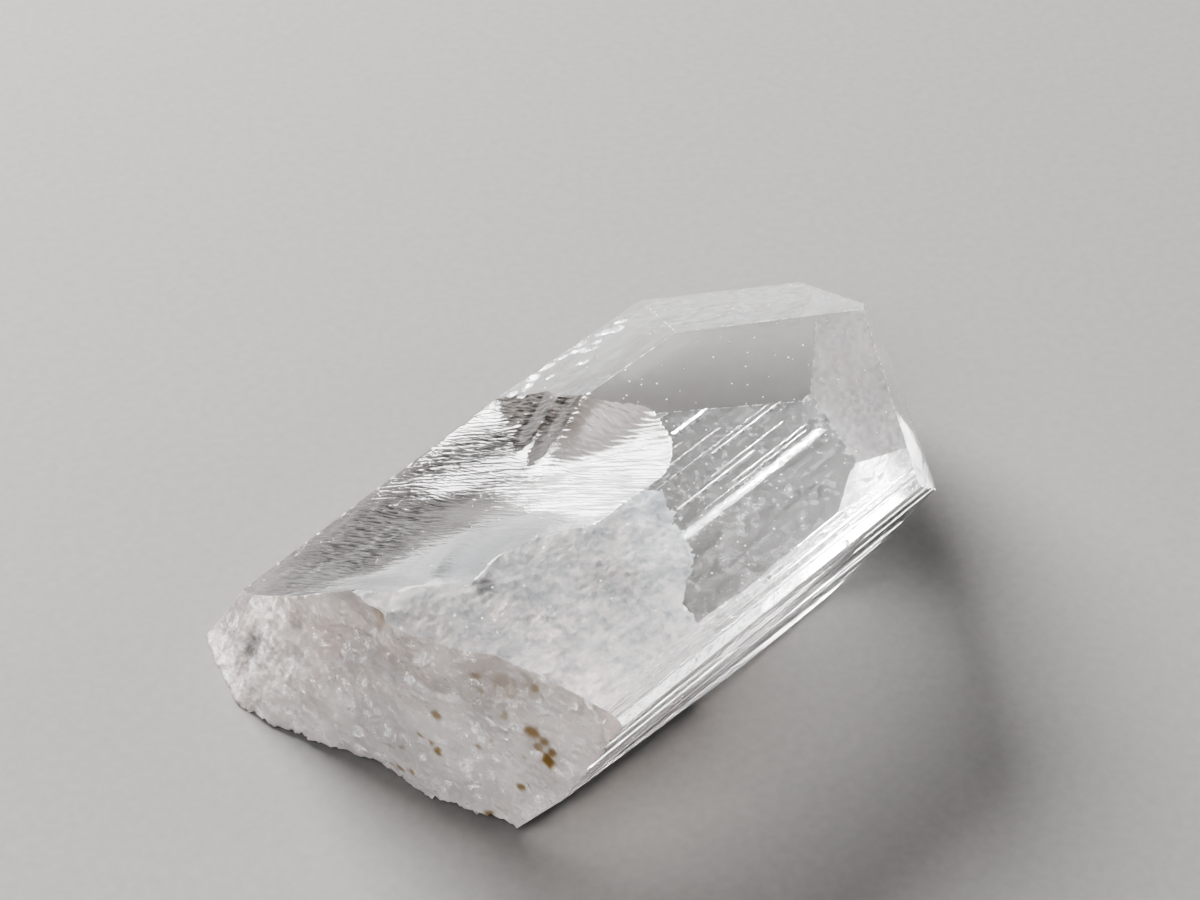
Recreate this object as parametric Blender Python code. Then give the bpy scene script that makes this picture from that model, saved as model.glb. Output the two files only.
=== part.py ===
# Danburite crystal: one natural prism, broken off at one end, with a chisel-shaped
# termination at the other. It lies on a broad prism face. The long (prism) axis runs
# along X from the break at -X to the termination at +X, and Z is up.

import math

import bmesh
import bpy
from mathutils import Vector, noise

MM = 0.001

# Driving dimensions, in millimetres.
THICKNESS = 8.0          # between the two broad prism faces
RIDGE_Y = -9.65          # where the top face meets the undercut side face
FOOT_Y = -6.05           # where the undercut side face meets the resting face
BEVEL_Y = 2.2            # where the top face turns down into the far bevel
BEVEL_FOOT = (7.35, 4.5) # y and z of the bevel's lower edge
BLANK = 48.0             # side of the block that the faces are cut from

# Crystal faces: compass direction of the outward normal in plan, its rise above the
# horizontal, both in degrees, and a point in millimetres that the face passes through.
PRISM_FACES = {
    "top": (0.0, 90.0, (0.0, 0.0, THICKNESS)),
    "resting": (0.0, -90.0, (0.0, 0.0, 0.0)),
    "side_undercut": (-90.0, -24.2, (0.0, FOOT_Y, 0.0)),
    "side_ridge": (-90.0, 40.0, (0.0, RIDGE_Y + 0.22, THICKNESS)),
    "far_bevel": (90.0, 55.8, (0.0, BEVEL_Y, THICKNESS)),
    "far_side": (90.0, 26.0, (0.0, *BEVEL_FOOT)),
}
TERMINATION_FACES = {
    "chisel_upper": (54.0, 61.2, (4.24, 2.2, THICKNESS)),
    "chisel_lower": (50.0, -56.4, (4.73, 1.31, 0.0)),
    "end_steep": (-39.9, 24.8, (3.9, -9.44, THICKNESS)),
    "end_lower": (-28.0, -33.6, (7.45, -2.45, 0.0)),
    "end_lip": (-30.0, -62.0, (7.05, -2.45, 0.0)),
    "corner_lower": (-62.5, -37.8, (5.6, -5.1, 0.0)),
    "corner_upper": (12.0, 48.0, (10.45, -2.3, THICKNESS)),
}
FOOT_CORNER = (-93.7, -34.6, (-12.26, -5.31, 0.0))   # bevels the foot towards the break

# The broken end: a steep, uneven surface across the prism at -X.
BREAK_X = -14.75         # furthest reach of the break along the axis, at its foot
BREAK_SHOULDER = 1.4     # how far it falls back between the two Y values that follow
SHOULDER_Y = (4.8, -0.9)
BREAK_SLANT = 0.18       # how fast it falls back from there towards the ridge side
BREAK_ROUNDING = 0.075   # how fast it curves back at the far side, beyond FAR_CURVE_Y
FAR_CURVE_Y = 5.3
BREAK_LEAN = (0.04, 0.006)   # how its backward lean grows with Y on the far side
RIDGE_LEAN = 0.08        # its backward lean below the ridge
BREAK_LEDGE_STEP = 0.22  # the curved ledge across the upper half of the break
BREAK_STEP = 0.32        # spacing of the break's surface points
BREAK_LUMPS = ((3.4, 0.34), (1.3, 0.16), (0.6, 0.07))   # size and height of the lumps
BREAK_LEDGE_Z = 6.3      # height of the ledge at y = 0, how much it waves, and its fall with y
BREAK_LEDGE_WAVE = 0.5
BREAK_LEDGE_FALL = 0.12

# Hollows in the broken end: y, z, radius and depth.
BREAK_HOLLOWS = (
    (7.0, 2.6, 0.9, 0.28),
    (5.6, 3.4, 0.7, 0.2),
    (2.1, 4.3, 1.5, 0.4),
    (-4.9, 3.0, 0.8, 0.22),
    (-1.8, 2.2, 0.6, 0.18),
    (-6.9, 5.4, 0.9, 0.2),
)

# The long chip along the far bevel: a curved fracture that starts at a wall across the
# prism and runs out through the broken end. Its edge in the top face is given as x and y,
# the line of its wall as y and x.
CHIP_EDGE = (
    (-15.0, 2.1), (-13.6, 1.2), (-12.0, -0.3), (-10.4, -1.5), (-8.9, -1.3), (-7.2, -1.6),
    (-5.25, -2.7), (0.0, -2.8),
)
CHIP_WALL = ((-6.0, -1.6), (-2.85, 0.7), (-1.7, 1.25), (-0.35, 1.65), (2.25, 0.15), (8.5, 3.2))
CHIP_WALL_RISE = 2.4     # height of the wall
CHIP_WALL_WIDTH = 2.2    # and its width along the axis
CHIP_DROP = 3.5          # fall of the floor from the top face to the far rim at the wall
CHIP_DEEPENING = 0.172   # how much more it falls for each millimetre towards the break
RIM_SPREAD = 0.488       # how far the rim moves outward as it gets lower
CHIP_STEP_X = 0.21       # spacing of the fracture's surface points
CHIP_STEP_Y = 0.62
HACKLE_ACROSS = (0.935, 0.354)   # direction in plan square to the hackle lines
HACKLE_SPACING = 0.84
HACKLE_HEIGHT = 0.07
HACKLE_WANDER = 0.35     # how far a hackle line strays, in spacings
FLOOR_SWELL = 0.1        # height of the broad swells in the fracture's floor
CLEAR_OF_TOP = 12.0      # the chip's cutter stops rising here, well above the crystal

# The rough patch under the broken end, where the crystal came off its bed.
BED_STEP = 0.42          # spacing of its surface points
BED_DEPTH = 0.34
BED_LUMPS = ((2.2, 0.3), (0.9, 0.16))
BED_WOBBLE = 0.9         # how far the patch's outline strays

# Growth lines on the resting face: middle y, width, depth, first and last x.
GROWTH_LINES = (
    (-0.85, 0.16, 0.05, -1.2, 6.9),
    (0.85, 0.3, 0.07, 2.6, 4.6),
    (-1.75, 0.14, 0.05, -1.6, 3.7),
    (-3.75, 0.2, 0.05, -1.2, 6.0),
    (-4.9, 0.16, 0.05, -2.2, 4.6),
)
RISER_Y = -2.95          # the resting face steps up by RISER_HEIGHT beyond this line
RISER_WIDTH = 0.5
RISER_HEIGHT = 0.12
RISER_DEPTH = 2.0        # how far its cutter reaches down from the riser's top

# Growth lines along the undercut side face: height, width and depth.
SIDE_LINES = (
    (6.6, 0.3, 0.05),
    (5.2, 0.45, 0.07),
    (3.4, 0.25, 0.05),
    (1.6, 0.4, 0.06),
)

# Small bruises knocked out of the ridge: x, radius and how far the cutter stands off it.
RIDGE_BRUISES = (
    (-8.6, 0.55, 0.36),
    (-4.1, 0.4, 0.26),
    (-0.4, 0.6, 0.42),
    (1.9, 0.35, 0.22),
)
BRUISE_WAY_OUT = Vector((0.0, -0.87, 0.5))


def clear_scene():
    for item in list(bpy.data.objects):
        bpy.data.objects.remove(item, do_unlink=True)


def new_collection(name):
    collection = bpy.data.collections.new(name)
    bpy.context.scene.collection.children.link(collection)
    return collection


def object_from_bmesh(name, bm, collection):
    mesh = bpy.data.meshes.new(name)
    bmesh.ops.recalc_face_normals(bm, faces=bm.faces)
    bm.to_mesh(mesh)
    bm.free()
    item = bpy.data.objects.new(name, mesh)
    collection.objects.link(item)
    return item


def face_normal(compass, rise):
    turn = math.radians(compass)
    lift = math.radians(rise)
    flat = math.cos(lift)
    return Vector((math.cos(turn) * flat, math.sin(turn) * flat, math.sin(lift)))


def smooth_step(low, high, value):
    part = min(max((value - low) / (high - low), 0.0), 1.0)
    return part * part * (3.0 - 2.0 * part)


def crystal_blank(collection):
    # A block cut back to each crystal face in turn.
    bm = bmesh.new()
    bmesh.ops.create_cube(bm, size=BLANK * MM)
    for compass, rise, point in (*PRISM_FACES.values(), *TERMINATION_FACES.values(), FOOT_CORNER):
        everything = [*bm.verts, *bm.edges, *bm.faces]
        bmesh.ops.bisect_plane(
            bm,
            geom=everything,
            dist=1e-7,
            plane_co=Vector(point) * MM,
            plane_no=face_normal(compass, rise),
            clear_outer=True,
        )
        rim = [edge for edge in bm.edges if edge.is_boundary]
        bmesh.ops.holes_fill(bm, edges=rim)
    bmesh.ops.remove_doubles(bm, verts=bm.verts, dist=1e-7)
    return object_from_bmesh("danburite_crystal", bm, collection)


def along(points, place):
    # Smooth curve through (place, value) pairs in rising order.
    for (low, first), (high, second) in zip(points, points[1:]):
        if place <= high or high == points[-1][0]:
            return first + (second - first) * smooth_step(low, high, place)


def lumps(point, layers):
    total = 0.0
    for size, height in layers:
        total += height * noise.noise(point / size)
    return total


def break_surface(y, z):
    # How far along X the break lies at a place on it.
    x = BREAK_X + BREAK_SHOULDER * (1.0 - smooth_step(SHOULDER_Y[1], SHOULDER_Y[0], y))
    x += BREAK_SLANT * max(0.0, SHOULDER_Y[1] - y) + BREAK_ROUNDING * max(0.0, y - FAR_CURVE_Y) ** 2
    far = max(0.0, y)
    x += z * (BREAK_LEAN[0] * far + BREAK_LEAN[1] * far * far + RIDGE_LEAN * smooth_step(2.0, 5.0, -y))
    ledge = BREAK_LEDGE_Z + BREAK_LEDGE_WAVE * math.sin(0.9 * y) - BREAK_LEDGE_FALL * y
    above = smooth_step(ledge - 0.3, ledge + 0.3, z) - 0.5
    x += BREAK_LEDGE_STEP * above * smooth_step(-4.5, -2.0, y)
    for hollow_y, hollow_z, radius, depth in BREAK_HOLLOWS:
        away = math.hypot(y - hollow_y, z - hollow_z) / radius
        x += depth * math.exp(-away * away)
    return x + lumps(Vector((3.1, y, z)), BREAK_LUMPS)


def chip_surface(x, y):
    # Height of the fracture floor, with the wall across the prism at its far end.
    edge = along(CHIP_EDGE, x)
    deeper = CHIP_DEEPENING * max(0.0, -x)
    rim = BEVEL_FOOT[0] + RIM_SPREAD * deeper
    across = y - edge
    floor = THICKNESS - (CHIP_DROP + deeper) * across / (rim - edge)
    strength = smooth_step(1.0, 4.5, across) + smooth_step(-6.5, -3.5, x)
    ripple = (HACKLE_ACROSS[0] * x + HACKLE_ACROSS[1] * y) / HACKLE_SPACING
    ripple += HACKLE_WANDER * noise.noise(Vector((0.8 * x, 0.25 * y, 7.0)))
    saw = ripple - math.floor(ripple)
    floor += HACKLE_HEIGHT * min(strength, 1.0) * (saw - 0.5)
    floor += FLOOR_SWELL * noise.noise(Vector((0.35 * x, 0.35 * y, 2.0)))
    wall = along(CHIP_WALL, y)
    floor += CHIP_WALL_RISE * smooth_step(wall - CHIP_WALL_WIDTH, wall, x)
    return min(floor, CLEAR_OF_TOP)


def bed_surface(x, y):
    # Height of the patch above the resting face's level; below zero it leaves the face alone.
    # The patch lies inside two lines, one on the far side and one on the termination's.
    wobble = BED_WOBBLE * noise.noise(Vector((0.5 * x, 0.5 * y, 11.0)))
    near_line = 0.31 - (y + 0.359 * x) + wobble
    far_line = 0.62 * (y + 2.15) - 0.785 * (x - 0.1) + wobble
    inside = min(near_line, far_line)
    rough = lumps(Vector((x, y, 5.0)), BED_LUMPS) * smooth_step(0.0, 1.2, inside)
    return BED_DEPTH * (smooth_step(-0.1, 0.9, inside) - 0.35) + rough


def surface_cutter(name, collection, corner, size, step, place, depth):
    # A closed block whose first face is a grid moved onto a surface: place gives the
    # position of a grid point, and depth is the way out to the block's flat back.
    bm = bmesh.new()
    counts = [max(2, round(size[i] / step[i])) for i in range(2)]
    bmesh.ops.create_grid(bm, x_segments=counts[0], y_segments=counts[1], size=0.5)
    bottom = list(bm.faces)
    extruded = bmesh.ops.extrude_face_region(bm, geom=bottom, use_keep_orig=True)
    back = {item for item in extruded["geom"] if isinstance(item, bmesh.types.BMVert)}
    for vert in bm.verts:
        u = corner[0] + (vert.co.x + 0.5) * size[0]
        v = corner[1] + (vert.co.y + 0.5) * size[1]
        spot = place(u, v)
        if vert in back:
            spot = Vector([out if out is not None else spot[i] for i, out in enumerate(depth)])
        vert.co = spot * MM
    return object_from_bmesh(name, bm, collection)


def break_cutter(collection):
    return surface_cutter(
        "break_cutter", collection, (-13.0, -1.0), (26.0, 11.0), (BREAK_STEP, BREAK_STEP),
        lambda y, z: Vector((break_surface(y, z), y, z)), (-26.0, None, None),
    )


def chip_cutter(collection):
    return surface_cutter(
        "chip_cutter", collection, (-17.0, -7.5), (19.5, 20.0), (CHIP_STEP_X, CHIP_STEP_Y),
        lambda x, y: Vector((x, y, chip_surface(x, y))), (None, None, 17.0),
    )


def bed_cutter(collection):
    return surface_cutter(
        "bed_cutter", collection, (-17.0, -8.0), (18.5, 15.0), (BED_STEP, BED_STEP),
        lambda x, y: Vector((x, y, bed_surface(x, y))), (None, None, -3.0),
    )


def growth_cutters(collection):
    # Shallow V-shaped grooves along the axis on the resting face, and the riser beside them.
    cutters = []
    for number, (middle, width, depth, first, last) in enumerate(GROWTH_LINES):
        bpy.ops.mesh.primitive_cylinder_add(vertices=4, radius=1.0, depth=1.0)
        groove = bpy.context.object
        groove.name = "growth_cutter_%d" % number
        groove.rotation_euler = (0.0, math.pi / 2, 0.0)
        groove.scale = (depth * MM, width / 2 * MM, (last - first) * MM)
        groove.location = ((first + last) / 2 * MM, middle * MM, 0.0)
        cutters.append(groove)
    bpy.ops.mesh.primitive_cube_add(size=1.0)
    riser = bpy.context.object
    riser.name = "riser_cutter"
    below = RISER_HEIGHT - RISER_DEPTH
    bm = bmesh.new()
    bm.from_mesh(riser.data)
    for vert in bm.verts:
        top = vert.co.z > 0
        near_side = vert.co.y < 0
        x = math.copysign(BLANK / 2, vert.co.x)
        y = -BLANK / 2 if near_side else RISER_Y + (0.0 if top else RISER_WIDTH * RISER_DEPTH / RISER_HEIGHT)
        vert.co = Vector((x, y, RISER_HEIGHT if top else below)) * MM
    bm.to_mesh(riser.data)
    bm.free()
    cutters.append(riser)
    for cutter in cutters:
        move_to(cutter, collection)
    return cutters


def side_line_cutters(collection):
    # Grooves along the undercut side face, sunk square to it.
    slant = math.radians(-PRISM_FACES["side_undercut"][1])
    cutters = []
    for number, (height, width, depth) in enumerate(SIDE_LINES):
        bpy.ops.mesh.primitive_cylinder_add(vertices=4, radius=1.0, depth=1.0)
        line = bpy.context.object
        line.name = "side_cutter_%d" % number
        line.rotation_euler = (math.pi / 2 - slant, 0.0, 0.0)
        on_face = FOOT_Y - height * math.tan(slant)
        line.location = (0.0, on_face * MM, height * MM)
        bm = bmesh.new()
        bm.from_mesh(line.data)
        for vert in bm.verts:
            lengthwise = math.copysign(BLANK / 2, vert.co.z)
            vert.co = Vector((lengthwise, vert.co.y * width / 2, vert.co.x * depth)) * MM
        bmesh.ops.recalc_face_normals(bm, faces=bm.faces)
        bm.to_mesh(line.data)
        bm.free()
        move_to(line, collection)
        cutters.append(line)
    return cutters


def bruise_cutters(collection):
    cutters = []
    for number, (x, radius, stand_off) in enumerate(RIDGE_BRUISES):
        bpy.ops.mesh.primitive_ico_sphere_add(subdivisions=2, radius=radius * MM)
        bruise = bpy.context.object
        bruise.name = "bruise_cutter_%d" % number
        bruise.location = (Vector((x, RIDGE_Y, THICKNESS)) + BRUISE_WAY_OUT * stand_off) * MM
        move_to(bruise, collection)
        cutters.append(bruise)
    return cutters


def move_to(item, collection):
    for other in list(item.users_collection):
        other.objects.unlink(item)
    collection.objects.link(item)


def cut(item, cutters):
    for cutter in cutters:
        cutter.hide_render = True
        cutter.display_type = "WIRE"
        modifier = item.modifiers.new(cutter.name, "BOOLEAN")
        modifier.operation = "DIFFERENCE"
        modifier.solver = "EXACT"
        modifier.object = cutter


def settle(item):
    # Bake the cuts, clean slivers, and put the origin under the middle of the bounds.
    graph = bpy.context.evaluated_depsgraph_get()
    mesh = bpy.data.meshes.new_from_object(item.evaluated_get(graph))
    bm = bmesh.new()
    bm.from_mesh(mesh)
    bmesh.ops.remove_doubles(bm, verts=bm.verts, dist=2e-6)
    bmesh.ops.dissolve_degenerate(bm, edges=bm.edges, dist=2e-6)
    bmesh.ops.triangulate(bm, faces=bm.faces)
    lows = [min(vert.co[i] for vert in bm.verts) for i in range(3)]
    highs = [max(vert.co[i] for vert in bm.verts) for i in range(3)]
    middle = Vector(((lows[0] + highs[0]) / 2, (lows[1] + highs[1]) / 2, lows[2]))
    bmesh.ops.translate(bm, verts=bm.verts, vec=-middle)
    bm.to_mesh(mesh)
    bm.free()
    item.modifiers.clear()
    item.data = mesh
    return middle


def crystal_material():
    material = bpy.data.materials.new("clear_danburite")
    material.use_nodes = True
    shader = material.node_tree.nodes["Principled BSDF"]
    shader.inputs["Base Color"].default_value = (0.88, 0.84, 0.83, 1.0)
    shader.inputs["Roughness"].default_value = 0.06
    shader.inputs["Metallic"].default_value = 0.0
    shader.inputs["IOR"].default_value = 1.63
    shader.inputs["Transmission Weight"].default_value = 0.9
    return material


clear_scene()
parts = new_collection("danburite_crystal")
cutting = new_collection("cutters")
crystal = crystal_blank(parts)
tools = [chip_cutter(cutting), bed_cutter(cutting), break_cutter(cutting)]
tools += growth_cutters(cutting) + side_line_cutters(cutting) + bruise_cutters(cutting)
cut(crystal, tools)
offset = settle(crystal)
crystal.data.materials.clear()
crystal.data.materials.append(crystal_material())
size = [round(value / MM, 2) for value in crystal.dimensions]
print("danburite crystal, mm:", size, "triangles:", len(crystal.data.polygons))
print("origin moved by, mm:", [round(value / MM, 3) for value in offset])
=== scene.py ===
import math
import random

import bmesh
import bpy
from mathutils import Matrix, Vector, noise


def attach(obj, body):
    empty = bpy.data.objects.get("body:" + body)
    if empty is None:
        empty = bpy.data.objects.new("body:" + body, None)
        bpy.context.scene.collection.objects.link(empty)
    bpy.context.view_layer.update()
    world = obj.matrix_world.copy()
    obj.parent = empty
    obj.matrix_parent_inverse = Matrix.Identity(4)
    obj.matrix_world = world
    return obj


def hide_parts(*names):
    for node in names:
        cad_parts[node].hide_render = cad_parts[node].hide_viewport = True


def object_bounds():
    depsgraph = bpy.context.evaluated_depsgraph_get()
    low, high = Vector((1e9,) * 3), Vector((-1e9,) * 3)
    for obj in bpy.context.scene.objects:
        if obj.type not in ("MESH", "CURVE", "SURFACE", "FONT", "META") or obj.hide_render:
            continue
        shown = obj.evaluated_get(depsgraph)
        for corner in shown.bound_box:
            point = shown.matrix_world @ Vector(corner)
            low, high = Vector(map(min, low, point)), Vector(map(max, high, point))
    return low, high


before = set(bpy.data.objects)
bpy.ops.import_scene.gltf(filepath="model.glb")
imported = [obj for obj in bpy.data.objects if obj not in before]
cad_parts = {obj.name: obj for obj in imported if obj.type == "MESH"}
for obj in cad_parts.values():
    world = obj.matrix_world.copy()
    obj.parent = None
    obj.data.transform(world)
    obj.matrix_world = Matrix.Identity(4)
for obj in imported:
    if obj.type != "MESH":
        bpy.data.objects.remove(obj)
cadLow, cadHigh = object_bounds()
mm = 0.001
print("frame loaded, box in mm:", [round(v / mm, 2) for v in cadHigh - cadLow])

# The crystal lies along X, broken off at -X and pointed at +X. Sizes are in millimetres from
# the same zero as its faces, and the finished mesh is moved onto the frame at the end.
# Each face: compass direction of its normal, rise of the normal, a point on the face, and how
# etched it is, from 0 for bright to 1 for frosted.
crystal = {
    "block": 48.0,
    "thickness": 8.0,
    "bevelFoot": (7.35, 4.5),  # y and z of the far bevel's lower edge
    "bevelUp": (0.0, -0.827, 0.562),  # the way up the bevel, and square out of it
    "bevelOut": (0.0, 0.562, 0.827),
    "edgeWear": 0.055,
    "edgeEtching": 0.7,
    "faces": {
        "top": (0.0, 90.0, (0.0, 0.0, 8.0), 0.03),
        "resting": (0.0, -90.0, (0.0, 0.0, 0.0), 0.45),
        "sideUndercut": (-90.0, -24.2, (0.0, -6.05, 0.0), 0.05),
        "sideRidge": (-90.0, 40.0, (0.0, -9.3, 8.0), 0.25),
        "farBevel": (90.0, 55.8, (0.0, 2.2, 8.0), 0.16),
        "farSide": (90.0, 26.0, (0.0, 7.35, 4.5), 0.12),
        "chiselUpper": (54.0, 61.2, (4.24, 2.2, 8.0), 0.25),
        "chiselLower": (50.0, -56.4, (4.73, 1.31, 0.0), 0.12),
        "endSteep": (-39.9, 24.8, (3.9, -9.44, 8.0), 0.14),
        "endLower": (-28.0, -33.6, (7.45, -2.45, 0.0), 0.35),
        "endLip": (-30.0, -62.0, (7.05, -2.45, 0.0), 0.6),
        "cornerLower": (-62.5, -37.8, (5.6, -5.1, 0.0), 0.6),
        "cornerUpper": (12.0, 48.0, (10.45, -2.3, 8.0), 0.3),
        "footCorner": (-93.7, -34.6, (-12.26, -5.31, 0.0), 0.5),
    },
}


def smoothStep(low, high, value):
    # low may be the larger of the two, for a step down
    part = min(max((value - low) / (high - low), 0.0), 1.0)
    return part * part * (3.0 - 2.0 * part)


def curveAt(points, place):
    # smooth curve through (place, value) pairs in rising order
    for (low, first), (high, second) in zip(points, points[1:]):
        if place <= high or high == points[-1][0]:
            return first + (second - first) * smoothStep(low, high, place)


def faceNormal(compass, rise):
    turn, lift = math.radians(compass), math.radians(rise)
    return Vector((math.cos(turn) * math.cos(lift), math.sin(turn) * math.cos(lift), math.sin(lift)))


def objectFrom(name, bm):
    bmesh.ops.recalc_face_normals(bm, faces=bm.faces)
    mesh = bpy.data.meshes.new(name)
    bm.to_mesh(mesh)
    bm.free()
    item = bpy.data.objects.new(name, mesh)
    bpy.context.scene.collection.objects.link(item)
    return item


def crystalBlank():
    # a block cut back to each face, with its edges a little worn
    bm = bmesh.new()
    etched = bm.faces.layers.float.new("etched")
    bmesh.ops.create_cube(bm, size=crystal["block"] * mm)
    for compass, rise, point, etching in crystal["faces"].values():
        everything = [*bm.verts, *bm.edges, *bm.faces]
        bmesh.ops.bisect_plane(
            bm, geom=everything, dist=1e-7, clear_outer=True,
            plane_co=Vector(point) * mm, plane_no=faceNormal(compass, rise),
        )
        cut = bmesh.ops.holes_fill(bm, edges=[edge for edge in bm.edges if edge.is_boundary])
        for face in cut["faces"]:
            face[etched] = etching
    bmesh.ops.remove_doubles(bm, verts=bm.verts, dist=1e-7)
    worn = bmesh.ops.bevel(
        bm, geom=list(bm.edges), offset=crystal["edgeWear"] * mm, segments=2,
        profile=0.5, affect="EDGES", clamp_overlap=True,
    )
    for face in worn["faces"]:
        face[etched] = crystal["edgeEtching"]
    return objectFrom("danburiteCrystal", bm)


# The broken end, across the prism at -X.
brokenEnd = {
    "corner": (-13.0, -1.0),
    "size": (26.0, 11.0),
    "step": (0.08, 0.08),
    "reach": -14.84,
    "shoulder": 1.4,
    "shoulderY": (4.8, -0.9),
    "slant": 0.18,
    "farRounding": 0.075,
    "farCurveY": 5.3,
    "lean": (0.04, 0.006),
    "ridgeLean": 0.08,
    "ridgeLeanY": (2.0, 5.0),
    "back": (-26.0, None, None),
    "lumps": ((3.4, 0.34), (1.3, 0.11), (0.6, 0.05)),  # size and height
    "ledgeEnd": 0.7,  # a ledge fades in and out over this length
    "lip": (-0.08, 0.1),  # its edge from below to above, and where its top has run out
    "lipRunOut": (0.3, 1.8),
    "ledges": (  # (y, z) along the lip, and how far it stands out
        (((-2.9, 7.6), (-2.0, 6.95), (-1.45, 6.3), (-1.0, 6.35), (-0.5, 6.75), (0.7, 6.4), (1.6, 6.9)), 0.2),
        (((-3.6, 5.3), (-2.0, 5.2), (-0.7, 5.2), (0.1, 5.5), (1.3, 4.6), (2.1, 3.9), (3.0, 3.6)), 0.2),
        (((-0.6, 6.6), (0.1, 6.1), (1.5, 4.95), (2.2, 4.6), (3.0, 4.4), (4.2, 4.9)), 0.12),
    ),
    "hollows": (  # y, z, radius, depth
        (6.3, 1.9, 0.5, 0.3), (3.9, 4.4, 0.4, 0.16), (3.8, 3.4, 0.45, 0.2), (2.1, 4.3, 1.1, 0.2),
        (-4.9, 3.0, 0.8, 0.16), (-1.8, 2.2, 0.6, 0.12), (-6.9, 5.4, 0.9, 0.15), (-0.2, 7.7, 0.35, 0.3),
    ),
}

# The long chip along the far bevel: its edge in the top face by x and y, and its wall by y and x.
chip = {
    "corner": (-17.0, -7.5),
    "size": (19.5, 20.0),
    "step": (0.038, 0.16),
    "edge": (
        (-15.0, 2.1), (-13.6, 1.2), (-12.0, -0.3), (-10.4, -1.5), (-8.9, -1.3), (-7.2, -1.6),
        (-5.25, -2.7), (0.0, -2.8),
    ),
    "wall": (
        (-6.0, 0.5), (-2.85, 2.8), (-1.7, 3.3), (-0.35, 3.2), (2.25, 1.1), (3.5, 1.7),
        (5.0, 3.0), (8.5, 4.8),
    ),
    "wallRise": 2.4,
    "wallWidth": 4.8,
    "drop": 3.5,
    "deepening": 0.172,  # how much deeper it is for each step towards the broken end
    "rimSpread": 0.488,
    "ceiling": 12.0,
    "back": (None, None, 17.0),
    "sway": (0.1, 0.35),  # height of the floor's slow waves, and how many to a millimetre
    "hackleLean": -0.379,  # how far a hackle line moves along X for each step along Y
    "hackleAcross": (0.935, 0.354, 0.0),
    "hackleAlong": (-0.354, 0.935, 0.0),
    "brightFrom": (-7.4, -4.2),  # the x over which the bright part comes in, and the y
    "brightTo": (3.4, 0.9),
    "feather": (0.9, 0.8),  # of the bright part's outline: width, and waves to a millimetre
}

# How strong the chip's hackles are, and where their steps get painted shade. Each reach is where
# a part comes in: by x, by y, or for the middle by the way in from the chip's edge.
hackles = {
    "least": 0.05,
    "middle": {"reach": (1.6, 4.0), "strength": 0.18},
    "rim": {"reach": (5.0, 8.0), "strength": 0.06},
    "wall": {"reachX": (-2.0, 0.0), "reachY": (1.0, 3.0), "strength": 0.4},
    "leastShade": 0.2,
    "band": {"reach": (1.8, 4.2), "rim": (6.4, 8.0), "rimLoss": 0.75},
    "shadedWall": {"reachX": (-3.4, -1.0), "reachY": (1.0, 3.0)},
}

# The rough patch underneath, where the crystal sat on its bed.
bedPatch = {
    "corner": (-17.0, -8.0),
    "size": (18.5, 15.0),
    "step": (0.11, 0.11),
    "depth": 0.34,
    "sill": 0.35,  # the share of the depth by which its edge starts below the resting face
    "edge": (-0.1, 0.9),
    "least": 0.05,
    "leastFrom": (0.3, 1.2),
    "roughFrom": (0.0, 1.2),
    "farEdge": (0.31, 0.359),  # y of the edge at x = 0, and its fall along X
    "endEdge": (0.1, -2.15, 0.785, 0.62),  # a point x, y on the edge, and the edge's normal
    "wobble": (0.9, 0.5),  # of both edges: width, and waves to a millimetre
    "riserFrom": (-2.2, -3.2),
    "back": (None, None, -3.0),
    "lumps": ((2.2, 0.2), (0.9, 0.08)),
}


def lumps(point, layers):
    # here and below, a fixed number in a noise's point only picks a slice of the noise
    return sum(height * noise.noise(point / size) for size, height in layers)


def breakSurface(y, z):
    # how far along X the break lies
    b = brokenEnd
    x = b["reach"] + b["shoulder"] * (1.0 - smoothStep(b["shoulderY"][1], b["shoulderY"][0], y))
    x += b["slant"] * max(0.0, b["shoulderY"][1] - y) + b["farRounding"] * max(0.0, y - b["farCurveY"]) ** 2
    far = max(0.0, y)
    nearRidge = smoothStep(*b["ridgeLeanY"], -y)
    x += z * (b["lean"][0] * far + b["lean"][1] * far * far + b["ridgeLean"] * nearRidge)
    for lip, step in b["ledges"]:
        first, last, fade = lip[0][0], lip[-1][0], b["ledgeEnd"]
        if first < y < last:
            above = z - curveAt(lip, y)
            ends = smoothStep(first, first + fade, y) * smoothStep(last, last - fade, y)
            x += step * ends * smoothStep(*b["lip"], above) * (1.0 - smoothStep(*b["lipRunOut"], above))
    for hollowY, hollowZ, radius, depth in b["hollows"]:
        away = math.hypot(y - hollowY, z - hollowZ) / radius
        x += depth * math.exp(-away * away)
    return Vector((x + lumps(Vector((3.1, y, z)), b["lumps"]), y, z))


def chipSurface(x, y):
    # the fracture's floor, curving up at its far end
    edge = curveAt(chip["edge"], x)
    deeper = chip["deepening"] * max(0.0, -x)
    rim = crystal["bevelFoot"][0] + chip["rimSpread"] * deeper
    floor = crystal["thickness"] - (chip["drop"] + deeper) * (y - edge) / (rim - edge)
    height, often = chip["sway"]
    floor += height * noise.noise(Vector((often * x, often * y, 2.0)))
    wall = curveAt(chip["wall"], y)
    floor += chip["wallRise"] * smoothStep(wall - chip["wallWidth"], wall, x)
    return Vector((x, y, min(floor, chip["ceiling"])))


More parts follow.
